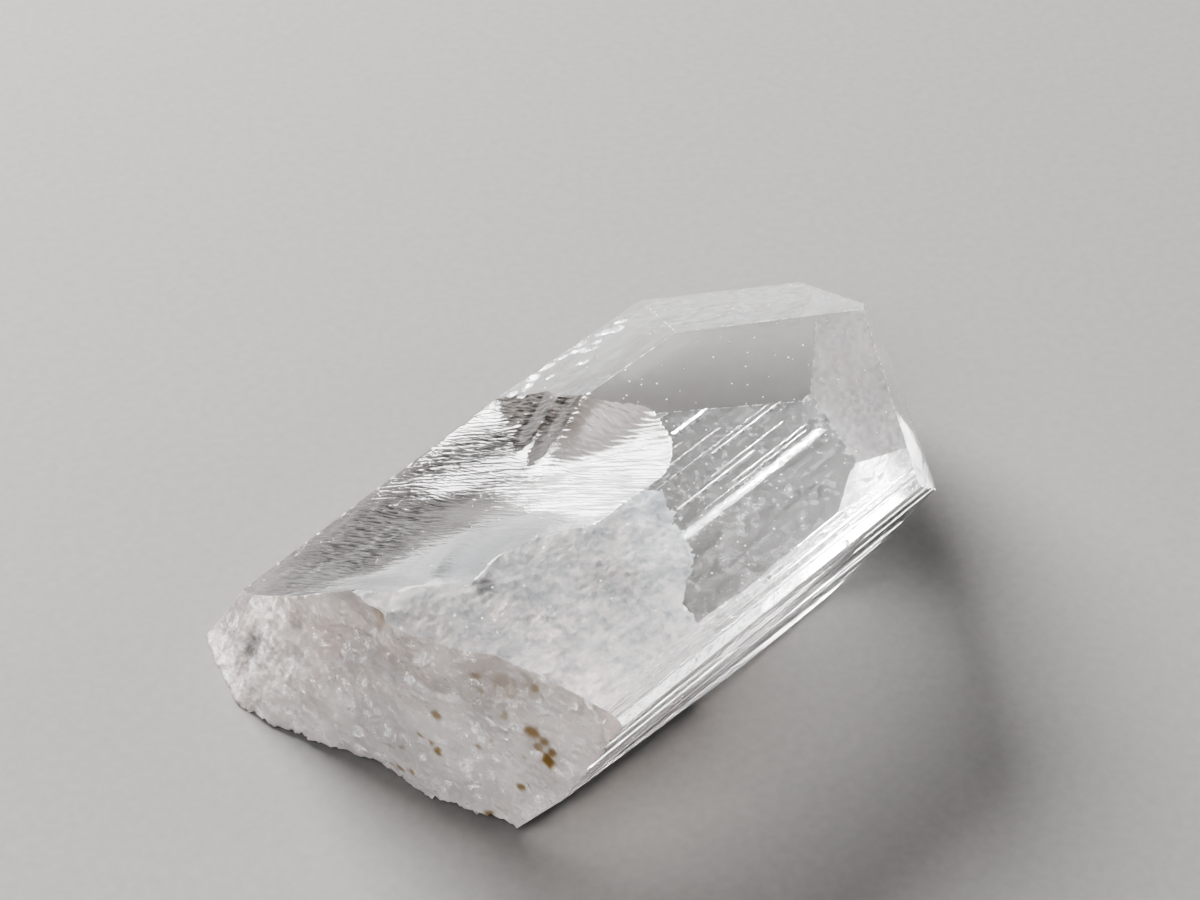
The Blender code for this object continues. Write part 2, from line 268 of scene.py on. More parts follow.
def bedSurface(x, y):
    # height above the resting face, and below it outside the patch
    b = bedPatch
    width, often = b["wobble"]
    wobble = width * noise.noise(Vector((often * x, often * y, 11.0)))
    farY, fall = b["farEdge"]
    endX, endY, normalX, normalY = b["endEdge"]
    farSide = farY - (y + fall * x) + wobble
    endSide = normalY * (y - endY) - normalX * (x - endX) + wobble
    inside = min(farSide, endSide)
    rough = lumps(Vector((x, y, 5.0)), b["lumps"]) * smoothStep(*b["roughFrom"], inside)
    height = b["depth"] * (smoothStep(*b["edge"], inside) - b["sill"]) + rough
    height += max(0.0, b["least"] - height) * smoothStep(*b["leastFrom"], inside)
    return Vector((x, y, height + growth["riser"]["height"] * smoothStep(*b["riserFrom"], y)))


def brightPart(x, y):
    # where the chip bottoms out near the pointed end, with a feathered outline
    width, often = chip["feather"]
    feather = width * noise.noise(Vector((often * x, often * y, 8.0)))
    return smoothStep(*chip["brightFrom"], x + feather) * smoothStep(*chip["brightTo"], y + feather)


def hackleStrength(x, y):
    # strong in the bright part, fine towards the rim, and hardly any in the smooth part
    middle, rim, wall = hackles["middle"], hackles["rim"], hackles["wall"]
    across = y - curveAt(chip["edge"], x)
    fine = middle["strength"] * smoothStep(*middle["reach"], across)
    fine += rim["strength"] * smoothStep(*rim["reach"], y)
    onWall = smoothStep(*wall["reachX"], x) * smoothStep(*wall["reachY"], y)
    return max(hackles["least"], brightPart(x, y), fine, wall["strength"] * onWall)


def chipShade(x, y):
    # painted shade on the hackle steps: a band inside the rim, and a little at the far end
    band, wall = hackles["band"], hackles["shadedWall"]
    inBand = smoothStep(*band["reach"], y) * (1.0 - band["rimLoss"] * smoothStep(*band["rim"], y))
    onWall = smoothStep(*wall["reachX"], x) * smoothStep(*wall["reachY"], y)
    return max(inBand * (1.0 - brightPart(x, y)), onWall, hackles["leastShade"])


def fractureBlock(name, sizes, surface, lean=0.0, ridges=None, shades=None):
    # closed block whose first face is a fine grid laid on the surface, with a flat back
    bm = bmesh.new()
    relief = bm.verts.layers.float.new("relief")
    ridged = bm.verts.layers.float.new("ridged")
    shade = bm.verts.layers.float.new("shade")
    counts = [round(sizes["size"][i] / sizes["step"][i]) for i in range(2)]
    bmesh.ops.create_grid(bm, x_segments=counts[0], y_segments=counts[1], size=0.5)
    extruded = bmesh.ops.extrude_face_region(bm, geom=list(bm.faces), use_keep_orig=True)
    back = {item for item in extruded["geom"] if isinstance(item, bmesh.types.BMVert)}
    for vert in bm.verts:
        v = sizes["corner"][1] + (vert.co.y + 0.5) * sizes["size"][1]
        u = sizes["corner"][0] + (vert.co.x + 0.5) * sizes["size"][0] + lean * v
        spot = surface(u, v)
        vert[relief] = 0.0 if vert in back else 1.0
        vert[ridged] = ridges(u, v) if ridges and vert not in back else 0.0
        vert[shade] = shades(u, v) if shades and vert not in back else 0.0
        if vert in back:
            spot = Vector([spot[i] if flat is None else flat for i, flat in enumerate(sizes["back"])])
        vert.co = spot * mm
    return objectFrom(name, bm)


def plug(tree, value, socket):
    # the value may be a node, which gives its first output in use, an output or a plain value
    if isinstance(value, bpy.types.Node):
        value = next(output for output in value.outputs if output.enabled)
    if isinstance(value, bpy.types.NodeSocket):
        tree.links.new(value, socket)
    else:
        socket.default_value = value


def addNode(tree, kind, settings=None, **links):
    # settings are the node's own; links go to its inputs by name, with _ for a space, or as at0,
    # at1 and so on by their place among the inputs in use
    node = tree.nodes.new(kind)
    for key, value in (settings or {}).items():
        setattr(node, key, value)
    inUse = [socket for socket in node.inputs if socket.enabled]
    for key, value in links.items():
        socket = inUse[int(key[2:])] if key.startswith("at") else node.inputs[key.replace("_", " ")]
        plug(tree, value, socket)
    return node


# Settings that many of the arithmetic nodes share.
plus, minus, times, over = [{"operation": name} for name in ("ADD", "SUBTRACT", "MULTIPLY", "DIVIDE")]


def newGroup(name, sockets):
    tree = bpy.data.node_groups.new(name, "GeometryNodeTree")
    tree.interface.new_socket("Geometry", in_out="INPUT", socket_type="NodeSocketGeometry")
    for label, (kind, value) in sockets.items():
        socket = tree.interface.new_socket(label, in_out="INPUT", socket_type="NodeSocket" + kind)
        if value is not None:
            socket.default_value = value
    tree.interface.new_socket("Geometry", in_out="OUTPUT", socket_type="NodeSocketGeometry")
    return tree, addNode(tree, "NodeGroupInput"), addNode(tree, "NodeGroupOutput")


def finishGroup(tree, start, end, geometry, zone, strength):
    # writes the zone on the faces, makes the pieces real and gives them the material
    zoned = addNode(
        tree, "GeometryNodeStoreNamedAttribute", {"data_type": "FLOAT", "domain": "FACE"},
        Geometry=geometry, Name=zone, Value=strength,
    )
    whole = addNode(tree, "GeometryNodeRealizeInstances", Geometry=zoned)
    painted = addNode(tree, "GeometryNodeSetMaterial", Geometry=whole, Material=start.outputs["Material"])
    plug(tree, painted, end.inputs[0])


def settle(item, tree, values):
    # runs the tree on the item and keeps the result as a plain mesh
    modifier = item.modifiers.new("shape", "NODES")
    modifier.node_group = tree
    for socket in tree.interface.items_tree:
        if socket.in_out == "INPUT" and socket.name in values:
            modifier[socket.identifier] = values[socket.name]
    graph = bpy.context.evaluated_depsgraph_get()
    mesh = bpy.data.meshes.new_from_object(item.evaluated_get(graph))
    item.modifiers.clear()
    item.data = mesh
    return item


# The fracture's ridges: how sharply they fall, how wide and long the gaps in them are next to the
# ridges' wander, and the noise that makes the gaps, with the heights that it gives.
ridgeForm = {"rise": 2.2, "gapWidth": 0.5, "gapLength": 0.3, "gapNoise": (0.44, 0.62), "heights": (0.05, 1.2)}


def fractureTree():
    # saw-toothed hackle ridges, short streaks, small tilted facets and broad swells on a fracture
    tree, start, end = newGroup("fractureRelief", {
        "Across": ("Vector", (1.0, 0.0, 0.0)),
        "Along": ("Vector", (0.0, 1.0, 0.0)),
        "Out": ("Vector", (0.0, 0.0, 1.0)),
        "Ridge Spacing": ("Float", 0.0004),
        "Ridge Height": ("Float", 0.0),
        "Ridge Wander": ("Float", 0.4),
        "Wander Width": ("Float", 0.0012),
        "Wander Length": ("Float", 0.004),
        "Streak Width": ("Float", 0.00015),
        "Streak Length": ("Float", 0.0008),
        "Streak Height": ("Float", 0.0),
        "Facet Size": ("Float", 0.0004),
        "Facet Tilt": ("Float", 0.0),
        "Swell Size": ("Float", 0.001),
        "Swell Height": ("Float", 0.0),
        "Zone": ("String", "silky"),
        "Material": ("Material", None),
    })
    s = start.outputs
    place = addNode(tree, "GeometryNodeInputPosition")
    relief, ridged = [
        addNode(tree, "GeometryNodeInputNamedAttribute", {"data_type": "FLOAT"}, Name=name)
        for name in ("relief", "ridged")
    ]
    across, along = [
        addNode(tree, "ShaderNodeVectorMath", {"operation": "DOT_PRODUCT"}, at0=place, at1=s[way])
        for way in ("Across", "Along")
    ]

    def drawnNoise(width, length, detail):
        # noise drawn out along the ridges
        x = addNode(tree, "ShaderNodeMath", over, at0=across, at1=width)
        y = addNode(tree, "ShaderNodeMath", over, at0=along, at1=length)
        at = addNode(tree, "ShaderNodeCombineXYZ", X=x, Y=y)
        return addNode(tree, "ShaderNodeTexNoise", Vector=at, Scale=1.0, Detail=detail)

    # the saw: a slow rise and a sharp fall, again and again, along a line that wanders
    stray = drawnNoise(s["Wander Width"], s["Wander Length"], 3.0)
    stray = addNode(tree, "ShaderNodeMath", minus, at0=stray, at1=0.5)
    wander = addNode(tree, "ShaderNodeMath", times, at0=s["Ridge Wander"], at1=2.0)
    stray = addNode(tree, "ShaderNodeMath", times, at0=stray, at1=wander)
    saw = addNode(tree, "ShaderNodeMath", over, at0=across, at1=s["Ridge Spacing"])
    saw = addNode(tree, "ShaderNodeMath", plus, at0=saw, at1=stray)
    saw = addNode(tree, "ShaderNodeMath", {"operation": "FRACT"}, at0=saw)
    crest = addNode(tree, "ShaderNodeMath", {"operation": "POWER"}, at0=saw, at1=ridgeForm["rise"])
    crest = addNode(tree, "ShaderNodeMath", times, at0=crest, at1=s["Ridge Height"])

    # the ridges break off and start again along their length, and keep to where they are asked for
    gapWidth = addNode(tree, "ShaderNodeMath", times, at0=s["Wander Width"], at1=ridgeForm["gapWidth"])
    gapLength = addNode(tree, "ShaderNodeMath", times, at0=s["Wander Length"], at1=ridgeForm["gapLength"])
    (low, high), (least, most) = ridgeForm["gapNoise"], ridgeForm["heights"]
    broken = addNode(
        tree, "ShaderNodeMapRange", Value=drawnNoise(gapWidth, gapLength, 2.0),
        From_Min=low, From_Max=high, To_Min=least, To_Max=most,
    )
    broken = addNode(tree, "ShaderNodeMath", times, at0=broken, at1=ridged)
    ridges = addNode(tree, "ShaderNodeMath", times, at0=crest, at1=broken)

    streaks = drawnNoise(s["Streak Width"], s["Streak Length"], 2.0)
    streaks = addNode(tree, "ShaderNodeMath", minus, at0=streaks, at1=0.5)
    streaks = addNode(tree, "ShaderNodeMath", times, at0=streaks, at1=s["Streak Height"])
    share = addNode(tree, "ShaderNodeMath", {"operation": "POWER"}, at0=ridged, at1=0.5)
    streaks = addNode(tree, "ShaderNodeMath", times, at0=streaks, at1=share)

    # each cell is one facet, tilted its own way
    facetScale = addNode(tree, "ShaderNodeMath", over, at0=1.0, at1=s["Facet Size"])
    cells = addNode(tree, "ShaderNodeTexVoronoi", Vector=place, Scale=facetScale).outputs
    inCell = addNode(tree, "ShaderNodeVectorMath", minus, at0=place, at1=cells["Position"])
    lean = addNode(tree, "ShaderNodeVectorMath", minus, at0=cells["Color"], at1=(0.5, 0.5, 0.5))
    facets = addNode(tree, "ShaderNodeVectorMath", {"operation": "DOT_PRODUCT"}, at0=inCell, at1=lean)
    facets = addNode(tree, "ShaderNodeMath", times, at0=facets, at1=s["Facet Tilt"])

    swellScale = addNode(tree, "ShaderNodeMath", over, at0=1.0, at1=s["Swell Size"])
    swell = addNode(tree, "ShaderNodeTexNoise", Vector=place, Scale=swellScale, Detail=4.0)
    swell = addNode(tree, "ShaderNodeMath", minus, at0=swell, at1=0.5)
    swell = addNode(tree, "ShaderNodeMath", times, at0=swell, at1=s["Swell Height"])

    fine = addNode(tree, "ShaderNodeMath", plus, at0=ridges, at1=streaks)
    coarse = addNode(tree, "ShaderNodeMath", plus, at0=facets, at1=swell)
    total = addNode(tree, "ShaderNodeMath", plus, at0=fine, at1=coarse)
    total = addNode(tree, "ShaderNodeMath", times, at0=total, at1=relief)
    offset = addNode(tree, "ShaderNodeVectorMath", {"operation": "SCALE"}, at0=s["Out"], Scale=total)
    moved = addNode(tree, "GeometryNodeSetPosition", Geometry=s["Geometry"], Offset=offset)
    smooth = addNode(tree, "GeometryNodeSetShadeSmooth", Geometry=moved)
    finishGroup(tree, start, end, smooth, s["Zone"], 1.0)
    return tree


def growthLineTree():
    # a lengthwise groove on every point, as long, wide and deep as the point says
    tree, start, end = newGroup("growthLines", {
        "Turn": ("Vector", (0.0, 0.0, 0.0)),
        "Etching": ("Float", 0.8),
        "Material": ("Material", None),
    })
    s = start.outputs
    length, width, depth = [
        addNode(tree, "GeometryNodeInputNamedAttribute", {"data_type": "FLOAT"}, Name=name)
        for name in ("long", "wide", "deep")
    ]
    size = addNode(tree, "ShaderNodeCombineXYZ", X=length, Y=width, Z=depth)
    turn = addNode(tree, "FunctionNodeEulerToRotation", at0=s["Turn"])
    groove = addNode(tree, "GeometryNodeMeshCylinder", Vertices=4, Radius=1.0, Depth=1.0)
    laid = addNode(tree, "GeometryNodeTransform", Geometry=groove, Rotation=(0.0, math.pi / 2, 0.0))
    grooves = addNode(
        tree, "GeometryNodeInstanceOnPoints",
        Points=s["Geometry"], Instance=laid, Rotation=turn, Scale=size,
    )
    finishGroup(tree, start, end, grooves, "etched", s["Etching"])
    return tree


def bruiseTree():
    # a small knocked-out hollow on every point, stretched one way and spun a little
    tree, start, end = newGroup("bruises", {
        "Turn": ("Vector", (0.0, 0.0, 0.0)),
        "Stretch": ("Vector", (1.0, 1.0, 1.0)),
        "Seed": ("Int", 5),
        "Etching": ("Float", 0.8),
        "Material": ("Material", None),
    })
    s = start.outputs
    mostSpin = Vector((0.3, 0.3, 0.6))  # radians, either way
    spin = addNode(
        tree, "FunctionNodeRandomValue", {"data_type": "FLOAT_VECTOR"},
        Min=-mostSpin, Max=mostSpin, Seed=s["Seed"],
    )
    turn, spin = [addNode(tree, "FunctionNodeEulerToRotation", at0=angles) for angles in (s["Turn"], spin)]
    turned = addNode(tree, "FunctionNodeRotateRotation", {"rotation_space": "LOCAL"}, at0=turn, at1=spin)
    radius = addNode(tree, "GeometryNodeInputNamedAttribute", {"data_type": "FLOAT"}, Name="radius")
    size = addNode(tree, "ShaderNodeVectorMath", {"operation": "SCALE"}, at0=s["Stretch"], Scale=radius)
    scoop = addNode(tree, "GeometryNodeMeshIcoSphere", Radius=1.0, Subdivisions=2)
    scoops = addNode(
        tree, "GeometryNodeInstanceOnPoints",
        Points=s["Geometry"], Instance=scoop, Rotation=turned, Scale=size,
    )
    finishGroup(tree, start, end, scoops, "etched", s["Etching"])
    return tree


def markers(name, rows, keys):
    # loose points with a number or two each, for a tree to set its pieces on
    mesh = bpy.data.meshes.new(name)
    mesh.from_pydata([Vector(row[0]) * mm for row in rows], [], [])
    for place, key in enumerate(keys):
        layer = mesh.attributes.new(key, "FLOAT", "POINT")
        layer.data.foreach_set("value", [row[place + 1] * mm for row in rows])
    item = bpy.data.objects.new(name, mesh)
    bpy.context.scene.collection.objects.link(item)
    return item


# Growth lines: the bold ones by place, and fine ones strewn between them. A fine set has the
# reach over which it is strewn and the gap from line to line; the resting face's lines start
# and stop within two ranges of x, and the sides' have a range of middles and one of lengths.
growth = {
    "seed": 7,
    "resting": (  # middle y, width, depth, first and last x
        (1.1, 0.3, 0.07, 3.0, 4.95), (-0.65, 0.13, 0.05, 3.2, 7.7), (-1.7, 0.16, 0.05, 0.1, 4.4),
        (-4.03, 0.13, 0.04, -1.3, 6.0), (-3.15, 0.07, 0.03, 0.4, 6.2), (-2.4, 0.06, 0.03, 0.8, 6.6),
        (-2.2, 0.1, 0.03, 2.6, 6.9), (-3.4, 0.05, 0.02, 2.2, 5.8),
    ),
    "side": ((6.6, 0.3, 0.04), (5.2, 0.4, 0.05), (3.4, 0.2, 0.03)),  # z, width, depth
    "fineWidth": (0.03, 0.07),
    "fineDepth": (0.006, 0.02),
    "fineApart": 0.05,
    "restingFine": {
        "reach": (-5.8, 2.6), "gap": (0.25, 1.0), "starts": (-3.0, 3.0), "stops": (2.0, 8.0), "least": 0.8,
    },
    "sideFine": {"reach": (0.3, 7.5), "gap": (0.5, 1.4), "middles": (-4.0, 4.0), "lengths": (12.0, 44.0)},
    "farFine": {"reach": (0.3, 4.2), "gap": (0.05, 0.4), "middles": (-6.0, 4.0), "lengths": (8.0, 30.0)},
    "sideLength": 44.0,
    "riser": {
        "y": -2.8, "width": 0.42, "height": 0.16, "clear": 0.6, "wave": 0.06, "waveLength": 0.8,
        "foot": ((0.6, -3.0), (0.25, -0.1)),  # the block's far flank: y from the riser, and z
        "depth": -3.0, "stations": 120, "rampSteps": 5, "rampEtching": 0.85, "etching": 0.45,
    },
    "proud": (0.3, 0.6),  # how far a hollow's middle stands off the bevel, in radii
    "ridge": (-9.65, 8.0),  # y and z of the near ridge, and the way out from it
    "ridgeOut": (-0.87, 0.5),
    "ridgeBruises": (  # x, radius, how far off the ridge
        (-8.6, 0.5, 0.36), (-6.2, 0.3, 0.2), (-4.1, 0.4, 0.26), (-2.4, 0.25, 0.16), (-0.4, 0.6, 0.42),
        (1.9, 0.35, 0.22), (3.6, 0.22, 0.14),
    ),
}
# Nicks along the far bevel's lower edge, and two belts of hollows on the bevel above it: x from
# and to, gap, radius, how far up the bevel, and stretch along, up and into it.
nicks = {
    "rim": ((-13.2, 6.6), (0.2, 1.2), (0.05, 0.14), (0.0, 0.08), (1.4, 1.0, 1.0)),
    "beltLow": ((-0.8, 6.4), (-0.1, 0.3), (0.14, 0.42), (0.2, 1.0), (1.0, 1.7, 0.7)),
    "beltHigh": ((-0.2, 5.6), (0.0, 1.0), (0.1, 0.34), (1.2, 2.6), (1.2, 1.6, 0.7)),
}
roomBetween = 1.05  # hollows cut in one go are at least this share of their reach apart


def fineLines(dice, fine, bold):
    # places between the bold lines, each with its own width and depth
    (place, high), found = fine["reach"], []
    while place < high:
        width = dice.uniform(*growth["fineWidth"])
        if all(abs(place - other) > (wide + width) / 2 + growth["fineApart"] for other, wide in bold):
            found.append((place, width, dice.uniform(*growth["fineDepth"])))
        place += width + dice.uniform(*fine["gap"])
    return found


def restingLines(dice):
    fine, riser = growth["restingFine"], growth["riser"]
    rows = [
        (((first + last) / 2, y, 0.0), last - first, width / 2, depth)
        for y, width, depth, first, last in growth["resting"]
    ]
    bold = [(y, width) for y, width, _, _, _ in growth["resting"]] + [(riser["y"], riser["clear"])]
    for y, width, depth in fineLines(dice, fine, bold):
        first = dice.uniform(*fine["starts"])
        last = dice.uniform(*fine["stops"])
        if last - first > fine["least"]:
            rows.append((((first + last) / 2, y, 0.0), last - first, width / 2, depth))
    return markers("restingLines", rows, ("long", "wide", "deep"))


def slopeLines(name, dice, face, boldLines, fine):
    # lines along a side face, each by its height
    compass, rise, foot, _ = crystal["faces"][face]
    slant = math.copysign(math.tan(math.radians(rise)), rise * compass)
    rows = [
        ((0.0, foot[1] - slant * (z - foot[2]), z), growth["sideLength"], width / 2, depth)
        for z, width, depth in boldLines
    ]
    for z, width, depth in fineLines(dice, fine, [(z, width) for z, width, _ in boldLines]):
        middle = (dice.uniform(*fine["middles"]), foot[1] - slant * (z - foot[2]), z)
        rows.append((middle, dice.uniform(*fine["lengths"]), width / 2, depth))
    return markers(name, rows, ("long", "wide", "deep"))


def turnOnto(face):
    # turns a tree's upward side onto a face of the prism's sides
    compass, rise, _, _ = crystal["faces"][face]
    return Vector((math.copysign(math.radians(90.0 - rise), -compass), 0.0, 0.0))


def bruiseRows(dice, reach, gap, radii, heights, stretch):
    # hollows set along the bevel, a little proud of it so that each is only a shallow scoop
    up, out = Vector(crystal["bevelUp"]), Vector(crystal["bevelOut"])
    footY, footZ = crystal["bevelFoot"]
    x, rows = reach[0], []
    while x < reach[1]:
        radius = dice.uniform(*radii)
        deeper = chip["deepening"] * max(0.0, -x)
        foot = Vector((x, footY + chip["rimSpread"] * deeper, footZ - deeper))
        proud = radius * stretch[2] * dice.uniform(*growth["proud"])
        rows.append((foot + up * dice.uniform(*heights) + out * proud, radius))
        x += 2.0 * radius + dice.uniform(*gap)
    return rows


def apartSets(rows, reach):
    # shared out so that no two hollows of a set touch, since each set is cut in one go
    sets = []
    for row in rows:
        for found in sets:
            if all((row[0] - other[0]).length > reach * (row[1] + other[1]) for other in found):
                found.append(row)
                break
        else:
            sets.append([row])
    return sets


def riserBlock():
    # the resting face stands a little higher beyond a lengthwise riser, whose line wavers
    riser = growth["riser"]
    half, steps = crystal["block"] / 2, riser["rampSteps"]
    flank = [(riser["y"] + y, z) for y, z in riser["foot"]]
    ramp = [
        (riser["y"] - riser["width"] * (part - 0.5), riser["height"] * smoothStep(0.0, 1.0, part))
        for part in (step / steps for step in range(steps + 1))
    ]
    section = flank + ramp + [(-half, riser["height"]), (-half, riser["depth"])]
    bm = bmesh.new()
    etched = bm.faces.layers.float.new("etched")
    rings = []
    for station in range(riser["stations"] + 1):
        x = half * (2.0 * station / riser["stations"] - 1.0)
        waver = riser["wave"] * noise.noise(Vector((x / riser["waveLength"], 0.0, 4.0)))
        rings.append([bm.verts.new(Vector((x, y + waver, z)) * mm) for y, z in section])
    for ring, after in zip(rings, rings[1:]):
        for i in range(len(section)):
            j = (i + 1) % len(section)
            face = bm.faces.new((ring[i], ring[j], after[j], after[i]))
            onRamp = 1 <= i < len(ramp) + 1
            face[etched] = riser["rampEtching"] if onRamp else riser["etching"]
    bm.faces.new(rings[0])
    bm.faces.new(rings[-1][::-1])
    return objectFrom("riserBlock", bm)


def hexColour(code):
    # sRGB hex to linear
    parts = [int(code[i:i + 2], 16) / 255 for i in (1, 3, 5)]
    return (*[v / 12.92 if v <= 0.04045 else ((v + 0.055) / 1.055) ** 2.4 for v in parts], 1.0)


# Colours as sRGB hex. Each pattern has the size of its grain in millimetres, its detail, and the
# range of the noise that is drawn out to run from 0 to 1.
danburiteLook = {
    "colours": {
        "clear": "#FDFDFD",
        "frosted": "#EEEFF1",
        # painted shade on the chip's hackle steps
        "hackleShadow": "#353E3E",
        "breakPale": "#D2CAC6",
        "breakDull": "#ADA5A1",
        # painted highlight on the break's glossy facets and glints
        "paintedFacetHighlight": "#EAE6E3",
        # painted shade in the break's hollows and along its ledges
        "paintedHollowShade": "#67696A",
        "milkWhite": "#FFFFFF",
        "milkCool": "#EEF3F6",
        "fog": "#CBD5DB",
        # painted highlight: white spots on the bed patch and the break's glints
        "paintedGlint": "#FFFFFF",
        "smudgeAndHollowShade": "#5C6468",
        "rustDark": "#573E14",
        "rustPale": "#94752F",
        "body": "#E4D8D2",
    },
    "bodyDensity": 4.0,
    "ior": 1.633,
    "roughness": {
        "clear": 0.01, "frosted": 0.4, "smoothChip": 0.06, "hackles": 0.16, "streaks": 0.5, "bed": 0.3,
        "fog": 0.55, "glossyBed": 0.12, "break": 0.5, "paintedSparkle": 0.14, "speck": 0.5, "rust": 0.7,
    },
    "clearness": {
        "clear": 1.0, "frosted": 0.45, "smoothChip": 0.98, "hackles": 0.85, "bed": 0.0, "fog": 0.12,
        "paintedGlint": 0.0, "break": 0.35, "blotch": 0.65, "speck": 0.15, "rust": 0.05,
    },
    "wispyFrost": (0.3, 1.3),  # how much frosting an etched face has off the wisps and on them
    "grainyFrost": (0.35, 1.6),  # and off the grains of a patch and on them
    "patterns": {
        "grain": (0.3, 5.0, (0.36, 0.64)),
        "blotch": (2.4, 4.0, (0.4, 0.62)),
        "fog": (0.45, 8.0, (0.38, 0.66)),
        "patches": (1.4, 4.0, (0.34, 0.6)),
    },
    "drawnDetail": 4.0,  # of the wisps and of the streaks
    "wispScale": (200.0, 2600.0, 2600.0),  # per metre: drawn out along X
    "wispRange": (0.35, 0.65),
    "streakScale": (11000.0, 500.0, 3000.0),  # and drawn out along the hackles
    "streakTurn": 20.7,
    "streakRange": (0.3, 0.62),
    "speckSize": 0.42,
    "speckRim": (0.1, 0.06),  # in shares of a cell
    "speckChance": 0.45,  # the cells over this have one
    "facetSize": 0.42,
    "facetRange": (0.6, 0.75),  # the cells over this are glossy,
    "glossRange": (0.42, 0.54),  # where the grain is over this
    "silkDepth": 0.05,  # of the fine relief, with its strength from 0 to 1
    "silkStrength": 0.5,
    "grainDepth": 0.14,
    "grainStrength": 0.8,
    "etchedGrain": 0.45,  # the share of it on an etched growth face
}


def danburiteMaterial():
    # clear natural danburite: glassy growth faces, silky where it chipped, matt and granular
    # where it broke, cloudy where it sat on its bed
    look = danburiteLook
    material = bpy.data.materials.new("naturalDanburite")
    material.use_nodes = True
    tree = material.node_tree
    shader = tree.nodes["Principled BSDF"]
    shader.inputs["IOR"].default_value = look["ior"]
    place = addNode(tree, "ShaderNodeTexCoord").outputs["Object"]
    silky, granular, milky, etched, ridged, shade, rust, smudgeAndHollowShade, paintedGlint = [
        addNode(tree, "ShaderNodeAttribute", {"attribute_name": name}).outputs["Fac"]
        for name in ("silky", "granular", "milky", "etched", "ridged", "shade", "rust", "smudgeAndHollowShade", "paintedGlint")
    ]
    colours = {name: hexColour(code) for name, code in look["colours"].items()}

    def layered(kind, base, *layers):
        # each layer lies over the ones before it: where it shows, and what it is
        for where, layer in layers:
            base = addNode(tree, "ShaderNodeMix", {"data_type": kind}, at0=where, at1=base, at2=layer)
        return base

    raw, patterns = {}, {}
    for name, (size, detail, (low, high)) in look["patterns"].items():
        raw[name] = addNode(tree, "ShaderNodeTexNoise", Vector=place, Scale=1 / (size * mm), Detail=detail)
        patterns[name] = addNode(tree, "ShaderNodeMapRange", Value=raw[name], From_Min=low, From_Max=high)
    grain = raw["grain"]
    soft, blotch, fog, patches = patterns.values()

    # frosting on a growth face comes in lengthwise wisps and in grainy patches
    low, high = look["wispRange"]
    drawn = addNode(tree, "ShaderNodeMapping", Vector=place, Scale=look["wispScale"])
    wisps = addNode(tree, "ShaderNodeTexNoise", Vector=drawn, Scale=1.0, Detail=look["drawnDetail"])
    wisps = addNode(tree, "ShaderNodeMapRange", Value=wisps, From_Min=low, From_Max=high)
    wispy, grainy = [
        layered("FLOAT", least, (pattern, most))
        for pattern, (least, most) in ((wisps, look["wispyFrost"]), (soft, look["grainyFrost"]))
    ]
    frost = layered("FLOAT", wispy, (patches, grainy))
    frost = addNode(tree, "ShaderNodeMath", times, at0=etched, at1=frost)
    frost = addNode(tree, "ShaderNodeMath", {"operation": "MINIMUM"}, at0=frost, at1=1.0)

    # dust and pin-prick pits, a few to each square millimetre
    low, high = look["speckRim"]
    dots = addNode(tree, "ShaderNodeTexVoronoi", Vector=place, Scale=1 / (look["speckSize"] * mm)).outputs
    chosen = addNode(
        tree, "ShaderNodeMath", {"operation": "GREATER_THAN"}, at0=dots["Color"], at1=look["speckChance"]
    )
    speck = addNode(tree, "ShaderNodeMapRange", Value=dots["Distance"], From_Min=low, From_Max=high)
    speck = addNode(tree, "ShaderNodeMath", times, at0=speck, at1=chosen)

    # silky streaks along the hackles, some of them darkened with painted shade
    low, high = look["streakRange"]
    drawn = addNode(
        tree, "ShaderNodeMapping", Vector=place, Scale=look["streakScale"],
        Rotation=(0.0, 0.0, math.radians(look["streakTurn"])),
    )
    streak = addNode(tree, "ShaderNodeTexNoise", Vector=drawn, Scale=1.0, Detail=look["drawnDetail"])
    shadow = addNode(tree, "ShaderNodeMapRange", Value=streak, From_Min=low, From_Max=high)
    shadow = addNode(tree, "ShaderNodeMath", times, at0=shadow, at1=shade)

    # some of the small facets of the break and of the milky patch are glossy in places; on the break
    # these and the listed glints also get a painted highlight in their colour
    facets = addNode(tree, "ShaderNodeTexVoronoi", Vector=place, Scale=1 / (look["facetSize"] * mm)).outputs
    shiny, inPlaces = [
        addNode(tree, "ShaderNodeMapRange", Value=value, From_Min=low, From_Max=high)
        for value, (low, high) in ((facets["Color"], look["facetRange"]), (grain, look["glossRange"]))
    ]
    glossy = addNode(tree, "ShaderNodeMath", times, at0=shiny, at1=inPlaces)
    # where the break gets a painted highlight: its glossy facets and its listed glints
    paintedSparkle = addNode(tree, "ShaderNodeMath", {"operation": "MAXIMUM"}, at0=glossy, at1=paintedGlint)

    # the broken end: own blotches, painted highlight on glints, painted shade in hollows
    onBreak = layered(
        "RGBA", colours["breakPale"],
        (blotch, colours["breakDull"]), (paintedSparkle, colours["paintedFacetHighlight"]), (smudgeAndHollowShade, colours["paintedHollowShade"]),
    )
    # the bed patch: milky tones, spots of painted highlight, and dark smudges
    onBed = layered(
        "RGBA", colours["milkWhite"],
        (blotch, colours["milkCool"]), (fog, colours["fog"]), (paintedGlint, colours["paintedGlint"]),
        (smudgeAndHollowShade, colours["smudgeAndHollowShade"]),
    )
    rusty = layered("RGBA", colours["rustDark"], (grain, colours["rustPale"]))
    colour = layered(
        "RGBA", colours["clear"],
        (frost, colours["frosted"]), (shadow, colours["hackleShadow"]), (milky, onBed),
        (granular, onBreak), (rust, rusty),
    )
    plug(tree, colour, shader.inputs["Base Color"])

